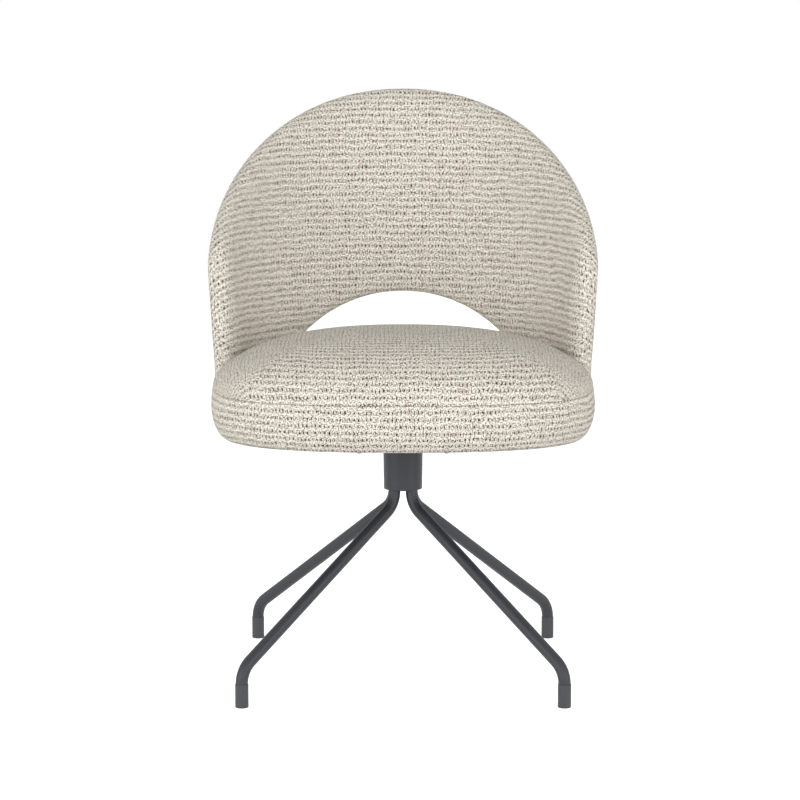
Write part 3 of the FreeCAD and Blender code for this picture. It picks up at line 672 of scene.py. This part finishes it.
def inner_cover_section():
    """Inner face, half round at the rim, a lap, the hollow for the board, a lap, and half round."""
    face = np.linspace(0.0, 1.0, 45)[:-1]
    bend = np.linspace(0.0, np.pi, 25)[:-1]
    early = RIM_SOFTNESS * np.maximum(1.0 - np.sin(bend), 0.0) * (bend < np.pi / 2.0)
    back_bend = np.linspace(np.pi, 0.0, 17)[:-1]
    bend_length = np.pi * (WALL_HALF + RIM_BULGE) / 2.0
    roll = np.linspace(0.0, np.pi / 2.0, 4)
    lap_in = LAP_WIDTH - LAP_ROLL * (1.0 - np.sin(roll))
    lap_out = WALL_HALF - LAP_ROLL * (1.0 - np.cos(roll))
    hollow = BOARD_HALF + LAYER_GAP
    reach = BOARD_REACH + LAYER_GAP
    inside = np.linspace(0.98, 0.02, 20)
    return section_of([
        (face, -RIM_SOFTNESS * face, -WALL_HALF, 0.0),
        (1.0, RIM_BULGE * np.sin(bend) - early, -WALL_HALF * np.cos(bend),
         bend_length * bend / np.pi - RIM_BULGE * np.sin(bend)),
        (1.0, -lap_in, lap_out, bend_length + 2.0 * lap_in),
        (1.0, np.array([-LAP_WIDTH, reach, reach]), np.array([hollow, hollow, -hollow]), 0.0),
        (inside, 0.0, -hollow, 0.0),
        (0.0, np.array([-reach, -reach, LAP_WIDTH]), np.array([-hollow, hollow, hollow]), 0.0),
        (0.0, lap_in[::-1], lap_out[::-1], -bend_length - 2.0 * lap_in[::-1]),
        (0.0, -RIM_BULGE * np.sin(back_bend), -WALL_HALF * np.cos(back_bend),
         RIM_BULGE * np.sin(back_bend) - bend_length * back_bend / np.pi),
    ])


def rear_panel_section():
    """A slightly crowned outer face, rolled edges at both seams, and a flat hidden face."""
    edge = LAP_WIDTH + LAYER_GAP
    face = np.linspace(0.0, 1.0, 41)
    crown = PANEL_CROWN * (1.0 - (2.0 * face - 1.0) ** 2)
    roll = np.linspace(0.0, np.pi / 2.0, 6)[1:]
    rolled_in = PANEL_ROLL * np.sin(roll)
    rolled_out = WALL_HALF - PANEL_ROLL * (1.0 - np.cos(roll))
    start = edge + PANEL_ROLL
    hidden = BOARD_HALF + LAYER_GAP
    return section_of([
        (face, start * (1.0 - 2.0 * face), WALL_HALF + crown, 0.0),
        (1.0, rolled_in - start, rolled_out, 0.0),
        (np.linspace(1.0, 0.0, 20), np.linspace(-edge, edge, 20), hidden, 0.0),
        (0.0, start - rolled_in[::-1], rolled_out[::-1], 0.0),
    ])


def back_piece(name, section, middle, cover, material):
    """One layer of the back as a closed mesh."""
    shares = np.linspace(-1.0, 1.0, ARCH_STEPS + 1)
    points, weave = across_wall(shares, section)
    return soft_piece(name, [with_feet(points, weave, middle, cover)], material, close_ends=True)


back_cover = back_piece("back_inner_cover", inner_cover_section(), 0.0, FOOT_COVER, back_tweed)
panel_middle = (BOARD_HALF + WALL_HALF) / 2.0
rear_cover = back_piece("back_rear_cover", rear_panel_section(), panel_middle, 0.0, back_tweed)

# %% [markdown]
# ## The cushion's plan
# Seen from above the cushion is a squared oval, a little deeper in front of its widest line than
# behind it. Its points lie on rays from the middle of that line, and the length of a ray comes from
# the squared oval's formula. Where the cushion meets the back it is pressed in: each point is
# measured against the wall's middle, and one that would enter the wall is moved back along the
# wall's normal, softly, so that the foam seems to give.

# %% The cushion's plan and where the back presses it in
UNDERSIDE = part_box("seat_band")[0].z
SEAM_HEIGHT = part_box("seat_band")[1].z
SEAT_HALF_WIDTH = 274.4 * MM
SEAT_FRONT = 255.0 * MM
SEAT_REAR = 188.0 * MM
SEAT_WIDEST = 60.0 * MM
FRONT_SQUARENESS = 2.5
REAR_SQUARENESS = 2.3
SEAT_RAYS = 400
WALL_GAP = 0.8 * MM
PRESS_SOFTNESS = 2.5 * MM
PRESS_RECOVERY = 2.8
ray = np.linspace(np.pi / 2.0, np.pi * 2.5, SEAT_RAYS + 1)


def seat_ring(side_tuck, end_tuck, share=1.0):
    """Plan points of the squared oval: reach = (|cos / a|^n + |sin / b|^n)^(-1/n) along each ray."""
    front = np.sin(ray) < 0.0
    across = (SEAT_HALF_WIDTH - side_tuck) * share
    depth = np.where(front, SEAT_FRONT - SEAT_WIDEST, SEAT_REAR + SEAT_WIDEST) - end_tuck
    power = np.where(front, FRONT_SQUARENESS, REAR_SQUARENESS)
    # The oval's angle runs evenly in its own scaled plane, as if it were stretched from a circle
    reach = (np.abs(np.cos(ray)) ** power + np.abs(np.sin(ray)) ** power) ** (-1.0 / power)
    x, y = across * reach * np.cos(ray), depth * share * reach * np.sin(ray) - SEAT_WIDEST
    return np.stack([x, y], axis=-1)


def wall_place(points):
    """Plan angle and distance off the wall's middle, by Newton's rule for the nearest oval point."""
    x, y, z = np.abs(points[..., 0]), points[..., 1], np.maximum(points[..., 2], FOOT_HEIGHT)
    width, centre = half_width_at(z), centre_at(z)
    turn = np.arctan2(x / width, (y - centre) / WALL_DEPTH)
    for _ in range(4):
        sine, cosine = np.sin(turn), np.cos(turn)
        off_x, off_y = x - width * sine, y - centre - WALL_DEPTH * cosine
        error = off_x * width * cosine - off_y * WALL_DEPTH * sine
        slope = -(width * cosine) ** 2 - (WALL_DEPTH * sine) ** 2 - off_x * width * sine \
            - off_y * WALL_DEPTH * cosine
        turn = turn - error / slope
    normal = wall_normal(turn, z)
    outward = (x - width * np.sin(turn)) * normal[..., 0] \
        + (y - centre - WALL_DEPTH * np.cos(turn)) * normal[..., 1]
    return turn, outward, normal


def pressed(points, spare=0.0):
    """Move points out of the back's wall, along its normal, to the wall's inner face less a gap."""
    turn, outward, normal = wall_place(points)
    z = np.maximum(points[..., 2], FOOT_HEIGHT)
    width = half_width_at(z)
    past_rim = (turn - wing_edge(z)) * WALL_DEPTH
    oval = np.hypot(width * np.sin(turn) / (OPENING_HALF_WIDTH + WALL_HALF),
                    (z - FOOT_HEIGHT) / (OPENING_RISE + WALL_HALF))
    past_opening = (1.0 - oval) * (OPENING_RISE + WALL_HALF)
    past = np.maximum(past_rim, past_opening) / (RIM_BULGE + WALL_GAP)
    limit = -(WALL_HALF + WALL_GAP) * np.sqrt(1.0 - np.clip(past, 0.0, 1.0) ** 2)
    limit = limit + PRESS_RECOVERY * (RIM_BULGE + WALL_GAP) * np.maximum(past - 1.0, 0.0) - spare
    room = (limit - outward) / PRESS_SOFTNESS
    step = limit - PRESS_SOFTNESS * np.logaddexp(0.0, room) - outward
    step = np.where(points[..., 2] < FOOT_HEIGHT - 0.05 * MM, 0.0, step)
    moved = points.copy()
    moved[..., 0] += np.sign(points[..., 0]) * normal[..., 0] * step
    moved[..., 1] += normal[..., 1] * step
    return moved


# %% [markdown]
# ## The seat's cushion
# The cushion is boxed: a crowned top is sewn to an upright band along one seam. One side profile
# runs over both, and the seam is a narrow groove in it. The seam is not level: the band's upper edge
# is pulled down towards the front, where the foam is thickest. The band swells out, tucks under the
# cushion and is stapled beneath the board, and the crown is nearly level in the middle. All are
# profiles carried round the oval. On the crown the weave lies straight, and the length that the
# slope adds goes mostly into the rows in front and into the columns at the sides. On the band the
# weave runs along the seam.

# %% The crown and the band
CROWN_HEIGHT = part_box("seat_crown")[1].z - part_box("seat_crown")[0].z
CROWN_FLATNESS = 2.4
CROWN_SHOULDER = 1.76
CROWN_RINGS = 60
COLUMN_POWER = 1.5
ROW_POWER = 0.4
BAND_HEIGHT = SEAM_HEIGHT - UNDERSIDE
SEAM_TUCK = 3.0 * MM
SEAM_ROLL = 0.9 * MM
SEAM_GAP = 0.15 * MM
SEAM_DIP_REAR = 3.8 * MM
SEAM_DIP_FRONT = 6.4 * MM
SEAM_DIP_RUN = 120.0 * MM
FOAM_LEVEL = SEAM_HEIGHT - 8.0 * MM
BAND_WIDEST = 45.0 * MM
BAND_MARGIN = 2.0 * MM
SIDE_TUCK = 26.0 * MM
END_TUCK = 24.0 * MM
BOARD_INSET = 29.0 * MM
BOARD_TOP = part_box("seat_board")[1].z
FLAP = 18.0 * MM
FLAP_THICKNESS = 0.5 * MM
BOARD_GAP = 0.4 * MM
GROOVE_SHARE = 0.97
RING_SIDES = (0.78, 1.0)
RING_SHARES = (0.3, 0.8)


def seam_level():
    """The seam's height along every ray: it dips from the sides towards the front corners."""
    forward = -SEAT_WIDEST - seat_ring(0.0, 0.0)[:, 1]
    return SEAM_HEIGHT - SEAM_DIP_REAR - SEAM_DIP_FRONT * rising(forward, 0.0, SEAM_DIP_RUN)


def side_profile(height):
    """tuck = 1 - sqrt(1 - depth^2) parts of the foot's below the widest line, seam * rise^2 above."""
    depth = np.maximum(BAND_WIDEST - height, 0.0) / (BAND_WIDEST + BAND_MARGIN)
    rise = np.maximum(height - BAND_WIDEST, 0.0) / (BAND_HEIGHT - BAND_WIDEST)
    return 1.0 - np.sqrt(1.0 - depth ** 2), SEAM_TUCK * rise ** 2


def seam_rows(seam, tuck, foam, side):
    """The hidden face in the groove and the roll out to the seam; side is 1 above it, -1 below."""
    rows = [(0.0, 0.0, share, foam) for share in (0.0, 0.5)]
    rows += [(tuck + SEAM_ROLL, tuck + SEAM_ROLL, GROOVE_SHARE, seam)]
    for angle in np.linspace(0.0, np.pi / 2.0, 5)[:-1]:
        inset = tuck + SEAM_ROLL * (1.0 - math.sin(angle))
        rows.append((inset, inset, 1.0, seam + side * SEAM_ROLL * (1.0 - math.cos(angle))))
    return rows


def cushion_points(rows):
    """Rows of (side tuck, end tuck, share, height), each one number or one per ray, as points."""
    spread = np.stack([np.stack(np.broadcast_arrays(*row, ray)[:4]) for row in rows])
    plan = seat_ring(spread[:, 0], spread[:, 1], spread[:, 2])
    return pressed(np.concatenate([plan, spread[:, 3, :, None]], axis=-1)), plan


def crown_piece():
    """height = rise * (1 - share^flatness)^(1/shoulder) over rings that shrink to the middle."""
    seam = seam_level() + SEAM_GAP
    rows = seam_rows(seam, side_profile(seam - UNDERSIDE)[1], FOAM_LEVEL + SEAM_GAP, 1.0)
    for part in np.linspace(0.0, 1.0, 7)[:-1]:
        level = (seam + SEAM_ROLL) * (1.0 - part) + (SEAM_HEIGHT + SEAM_GAP) * part
        inset = side_profile(level - UNDERSIDE)[1]
        rows.append((inset, inset, 1.0, level))
    for share in np.cos(np.linspace(0.0, np.pi / 2.0, CROWN_RINGS + 1)):
        rise = CROWN_HEIGHT * (1.0 - share ** CROWN_FLATNESS) ** (1.0 / CROWN_SHOULDER)
        rows.append((SEAM_TUCK, SEAM_TUCK, share, SEAM_HEIGHT + SEAM_GAP + rise))
    points, plan = cushion_points(rows)
    step = np.linalg.norm(np.diff(points, axis=0), axis=-1)
    slope_run = np.concatenate([np.cumsum(step[::-1], axis=0)[::-1], np.zeros((1, SEAT_RAYS + 1))])
    away = plan - plan[-1]
    distance = np.linalg.norm(away, axis=-1, keepdims=True)
    extra = slope_run - distance[..., 0]
    turned = np.stack([np.sign(np.cos(ray)) * np.abs(np.cos(ray)) ** COLUMN_POWER,
                       np.sign(np.sin(ray)) * np.abs(np.sin(ray)) ** ROW_POWER], axis=-1)
    weave = away + turned * extra[..., None]
    share = np.array([row[2] for row in rows])[:, None]
    ring = -(SEAT_FRONT - SEAT_WIDEST) * share - extra
    side = np.abs(seat_ring(0.0, 0.0)[:, 0]) / SEAT_HALF_WIDTH
    along_seam = (1.0 - rising(side, *RING_SIDES)) * rising(share, *RING_SHARES) * (np.sin(ray) < 0.0)
    weave[..., 1] += (ring - weave[..., 1]) * along_seam
    return soft_piece("seat_crown_cover", [(points, weave)], seat_tweed)


def band_piece():
    """The padded side, its tuck under the cushion, the stapled flap and the hollow for the board."""
    seam = seam_level() - UNDERSIDE
    rows = seam_rows(seam, side_profile(seam)[1], FOAM_LEVEL - UNDERSIDE, -1.0)
    foot = FOOT_HEIGHT - UNDERSIDE
    heights = [foot + (seam - SEAM_ROLL - foot) * part for part in np.linspace(1.0, 0.0, 31)]
    for height in heights + [foot - 0.1 * MM, 0.5 * foot, 0.0]:
        below, above = side_profile(height)
        rows.append((SIDE_TUCK * below + above, END_TUCK * below + above, 1.0, height))
    rows.append((SIDE_TUCK * below + 1.2 * MM, END_TUCK * below + 1.2 * MM, 1.0, -FLAP_THICKNESS))
    rows += [(inset, inset, 1.0, -2.0 * FLAP_THICKNESS) for inset in (BOARD_INSET, BOARD_INSET + FLAP)]
    hollow = BOARD_INSET - BOARD_GAP
    rows += [(inset, inset, 1.0, -FLAP_THICKNESS) for inset in (BOARD_INSET + FLAP, hollow)]
    top = BOARD_TOP - UNDERSIDE + SEAM_GAP
    rows += [(hollow, hollow, 1.0, top), (BOARD_INSET, BOARD_INSET, 0.5, top), (0.0, 0.0, 0.0, top)]
    points, _ = cushion_points([(*row[:3], UNDERSIDE + row[3]) for row in rows])
    around, down = walked(seat_ring(0.0, 0.0)), walked(points[:, SEAT_RAYS // 2])
    weave = np.stack(np.broadcast_arrays(around[None, :], -down[:, None]), axis=-1)
    return soft_piece("seat_band_cover", [(points, weave)], seat_tweed)


seat_crown = crown_piece()
seat_band = band_piece()

# %% [markdown]
# ## Swelling the covers
# The crown may swell everywhere above its seam, the band between its seam and its tuck, and the
# back's inner face between its rim and its opening. Near the seams the freedom fades out.

# %% Air pressure in the covers
SWELL_CAP = 1.5 * MM
CROWN_FADE = 25.0 * MM
BAND_SHARES = (0.8, 0.92)
BAND_FADE = (UNDERSIDE + 4.0 * MM, UNDERSIDE + 20.0 * MM)
SEAM_FADE = (SEAM_HEIGHT - 28.0 * MM, SEAM_HEIGHT - 14.0 * MM)
FACE_DEPTHS = (12.0 * MM, 17.5 * MM)
FOOT_FADE = (FOOT_HEIGHT + 10.0 * MM, FOOT_HEIGHT + 60.0 * MM)


def swell_covers():
    """free = products of smooth steps in height, in plan share and in depth inside the wall."""
    above_seam = positions(seat_crown)[:, 2] - SEAM_HEIGHT
    stuff(seat_crown, rising(above_seam, 0.0, CROWN_FADE), SWELL_CAP)
    x, y, z = positions(seat_band).T
    oval = np.hypot(x / SEAT_HALF_WIDTH, (y + SEAT_WIDEST) / (SEAT_REAR + SEAT_WIDEST))
    outside = rising(oval, *BAND_SHARES) * rising(z, *BAND_FADE)
    stuff(seat_band, outside * (1.0 - rising(z, *SEAM_FADE)), SWELL_CAP)
    place = positions(back_cover)
    _, outward, _ = wall_place(place)
    inside = rising(-outward, *FACE_DEPTHS)
    stuff(back_cover, inside * rising(place[:, 2], *FOOT_FADE), SWELL_CAP)


swell_covers()

# %% [markdown]
# ## Under the seat
# A spun-bonded lining closes the underside and hides the stapled edge of the cover. It is one flat
# sheet with a square hole for the doubler board, stretched and stapled, so it sags by a millimetre
# or two between its edges. A row of staples holds it all round.

# %% The lining and its staples
LINING_INSET = BOARD_INSET + 12.0 * MM
LINING_TOP = UNDERSIDE - 1.3 * MM
LINING_SAG = 1.2 * MM
HOLE_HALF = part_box("seat_doubler")[1].x + 0.5 * MM
STAPLE_PITCH = 38.0 * MM
STAPLE_CROWN = 9.0 * MM
STAPLE_WIRE = 0.6 * MM
STAPLE_LEG = 2.0 * MM
STAPLE_INSET = 7.0 * MM
TANGENT_STEP = 1.0 * MM
LINING_RINGS = 17
LINING_WAVES = 9.0
HOLE_SQUARENESS = 12


def lining_sheet():
    """Rings from the doubler's square hole out to the oval; the sag is a sine across the rings."""
    outer = pressed(np.pad(seat_ring(LINING_INSET, LINING_INSET), ((0, 0), (0, 1)),
                           constant_values=UNDERSIDE), 2.0 * MM)[..., :2]
    direction = np.stack([np.cos(ray), np.sin(ray)], axis=-1)
    powers = (np.abs(direction) ** HOLE_SQUARENESS).sum(axis=-1, keepdims=True)
    square = HOLE_HALF * powers ** (-1.0 / HOLE_SQUARENESS) * direction
    blend = np.linspace(0.0, 1.0, LINING_RINGS)[:, None, None]
    plan = square + (outer - square) * blend
    sag = LINING_SAG * np.sin(np.pi * blend[..., 0]) * (1.0 + 0.25 * np.sin(LINING_WAVES * ray))
    points = np.concatenate([plan, (LINING_TOP - sag)[..., None]], axis=-1)
    x, y = plan[..., 0], plan[..., 1]
    ring_area = 0.5 * np.abs(np.sum(x[:, :-1] * y[:, 1:] - x[:, 1:] * y[:, :-1], axis=1))
    piece = soft_piece("underside_lining", [(points[::-1], plan[::-1])], lining)
    size = outer.max(axis=0) - outer.min(axis=0)
    return piece, outer, tuple(float(side) for side in size), float(ring_area[-1] - ring_area[0])


def staples(name, outline, level, pitch):
    """Small wire bridges along an outline: each is a thin box whose ends turn up into the board."""
    step = walked(outline)
    count = int(step[-1] / pitch)
    place = np.linspace(0.0, step[-1], count + 1)[:-1]
    middle, ahead = (np.stack([np.interp(run % step[-1], step, outline[:, k]) for k in (0, 1)], axis=-1)
                     for run in (place, place + TANGENT_STEP))
    tangent = (ahead - middle) / np.linalg.norm(ahead - middle, axis=-1, keepdims=True)
    across = np.stack([-tangent[:, 1], tangent[:, 0]], axis=-1)
    half, wire = STAPLE_CROWN / 2.0, STAPLE_WIRE / 2.0
    run = np.array([-half, -half, -half + wire, half - wire, half, half])
    rise = np.array([STAPLE_LEG, wire, 0.0, 0.0, wire, STAPLE_LEG])
    corners = []
    for side, up in ((-1.0, 0.0), (1.0, 0.0), (1.0, 1.0), (-1.0, 1.0)):
        reach = (run - np.sign(run) * up * STAPLE_WIRE)[None, :, None]
        plan = middle[:, None] + tangent[:, None] * reach + across[:, None] * side * wire
        height = np.broadcast_to(level - STAPLE_WIRE + rise + up * STAPLE_WIRE * 0.8, plan.shape[:2])
        corners.append(np.concatenate([plan, height[..., None]], axis=-1))
    body = np.stack(corners + corners[:1], axis=2)
    cap = np.repeat(body.mean(axis=2, keepdims=True), body.shape[2], axis=2)
    body = np.concatenate([cap[:, :1], body, cap[:, -1:]], axis=1)
    grids = [(one, np.zeros(one.shape[:2] + (2,))) for one in body]
    return soft_piece(name, grids, finishes["zinc_steel"], merge=0.001 * MM)


lining_piece, lining_edge, lining_size, lining_area = lining_sheet()
staple_line = lining_edge * (1.0 - STAPLE_INSET / np.linalg.norm(lining_edge, axis=-1, keepdims=True))
lining_staples = staples("lining_staples", staple_line, LINING_TOP, STAPLE_PITCH)

# %% [markdown]
# ## Welds
# The four tubes are welded to the hub disc from below. A weld is a bead of melted metal with a
# ripple for every time the welder moved on, so each is a ring whose thickness swells and shrinks
# round its tube.

# %% Weld beads on the tubes
WELD_RADIUS = 2.0 * MM
WELD_RIPPLES = 22
WELD_RIPPLE = 0.14
WELD_SINK = 0.4 * MM
CAP_OVER_TUBE = 0.65 * MM
NEAR_AXIS = 10.0 * MM


def weld_beads():
    """Rings at the tubes' upper ends: bead = radius * (1 + ripple * cos(count * angle))."""
    hub_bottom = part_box("hub_disc")[0].z
    grids = []
    for name in ("front_left", "front_right", "rear_left", "rear_right"):
        low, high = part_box("leg_" + name)
        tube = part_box("foot_cap_" + name)
        cap_radius = (tube[1].x - tube[0].x) / 2.0
        radius = cap_radius - CAP_OVER_TUBE
        x = high.x - radius if high.x < NEAR_AXIS else low.x + radius
        y = high.y - radius if high.y < NEAR_AXIS else low.y + radius
        angle, turn = np.meshgrid(np.linspace(0.0, 2.0 * np.pi, 89), np.linspace(0.0, 2.0 * np.pi, 9))
        bead = WELD_RADIUS * (1.0 + WELD_RIPPLE * np.cos(WELD_RIPPLES * angle + 0.8 * np.cos(turn)))
        out = radius + bead * 0.6 * (1.0 + np.cos(turn)) - WELD_SINK
        points = np.stack([x + out * np.cos(angle), y + out * np.sin(angle),
                           hub_bottom - bead * (0.55 + 0.75 * np.sin(turn))], axis=-1)
        grids.append((points, np.stack([angle, turn], axis=-1)))
    return soft_piece("weld_beads", grids, coat)


welds = weld_beads()

# %% [markdown]
# ## Who carries what
# Every soft piece turns with the seat, and the welds stay with the base. The plain solids that the
# covers and the lining stand for are hidden.

# %% Bodies and hidden solids
for piece in (back_cover, rear_cover, seat_crown, seat_band, lining_piece, lining_staples):
    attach(piece, "seat")
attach(welds, "base")
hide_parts("back_inner_pad")
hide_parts("back_rear_panel")
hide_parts("seat_crown")
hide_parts("seat_band")
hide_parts("dust_cover")

# %% [markdown]
# ## Floor and light
# The photograph is a studio picture on pure white. The floor glows for the camera, so that its lit
# parts reach white, and also takes light as a matt surface, so that the chair keeps a soft shadow.
# Three large soft lamps, one in front and one on either side, and a dim grey sky light the chair.
# Mirrors and glass see white.

# %% Floor, world and lamps
SKY_LIGHT = 0.5
FLOOR_GLOW = 0.8
FLOOR_HALF = 6.0
LAMP_TARGET = (0.0, 0.0, 0.5)


def seen_directly(tree):
    """1 for rays from the camera, from a mirror or through glass, and 0 for light."""
    camera_ray, glossy_ray, through_ray = (node(tree, "LightPath", {}, out=f"Is {kind} Ray")
                                           for kind in ("Camera", "Glossy", "Transmission"))
    return maths(tree, "MAXIMUM", maths(tree, "MAXIMUM", camera_ray, glossy_ray), through_ray)


def floor_piece():
    """A wide sheet of white studio board under the chair."""
    grid = np.linspace(-FLOOR_HALF, FLOOR_HALF, 3)
    x, y = np.meshgrid(grid, grid)
    points = np.stack([x, y, np.zeros_like(x)], axis=-1)
    mesh = bpy.data.meshes.new("floor")
    mesh.from_pydata(points.reshape(-1, 3).tolist(), [], grid_faces(3, 3).tolist())
    material, tree, shader = new_material("white_studio_board")
    tree.nodes.remove(shader)
    glow = maths(tree, "MULTIPLY", seen_directly(tree), FLOOR_GLOW)
    glowing = node(tree, "Emission", {"Color": linear("#FFFFFF"), "Strength": glow})
    matt = node(tree, "BsdfDiffuse", {"Color": linear("#F2F2F2")})
    both = node(tree, "AddShader", {0: glowing, 1: matt})
    tree.links.new(both, tree.nodes["Material Output"].inputs["Surface"])
    mesh.materials.append(material)
    floor = added("floor", mesh)


def lamp(name, place, size, power):
    """A square soft box that points at the middle of the chair."""
    data = bpy.data.lights.new(name, "AREA")
    data.size = size
    data.energy = power
    made = added(name, data)
    made.location = place
    away = np.array(place) - np.array(LAMP_TARGET)
    flat = math.hypot(away[0], away[1])
    made.rotation_euler = (math.atan2(flat, away[2]), 0.0, math.atan2(away[0], -away[1]))


floor_piece()
world = bpy.data.worlds.new("white_studio")
bpy.context.scene.world = world
world.use_nodes = True
sky_tree = world.node_tree
sky = node(sky_tree, "MapRange", {0: seen_directly(sky_tree), 3: SKY_LIGHT, 4: 1.0})
sky_tree.links.new(sky, sky_tree.nodes["Background"].inputs["Strength"])
sky_tree.nodes["Background"].inputs["Color"].default_value = (1.0, 1.0, 1.0, 1.0)
lamp("left_soft_box", (-3.0, -2.4, 1.0), 2.4, 62.0)
lamp("right_soft_box", (3.0, -2.4, 1.0), 2.4, 55.0)
lamp("front_soft_box", (0.0, -4.8, 1.4), 2.2, 52.0)
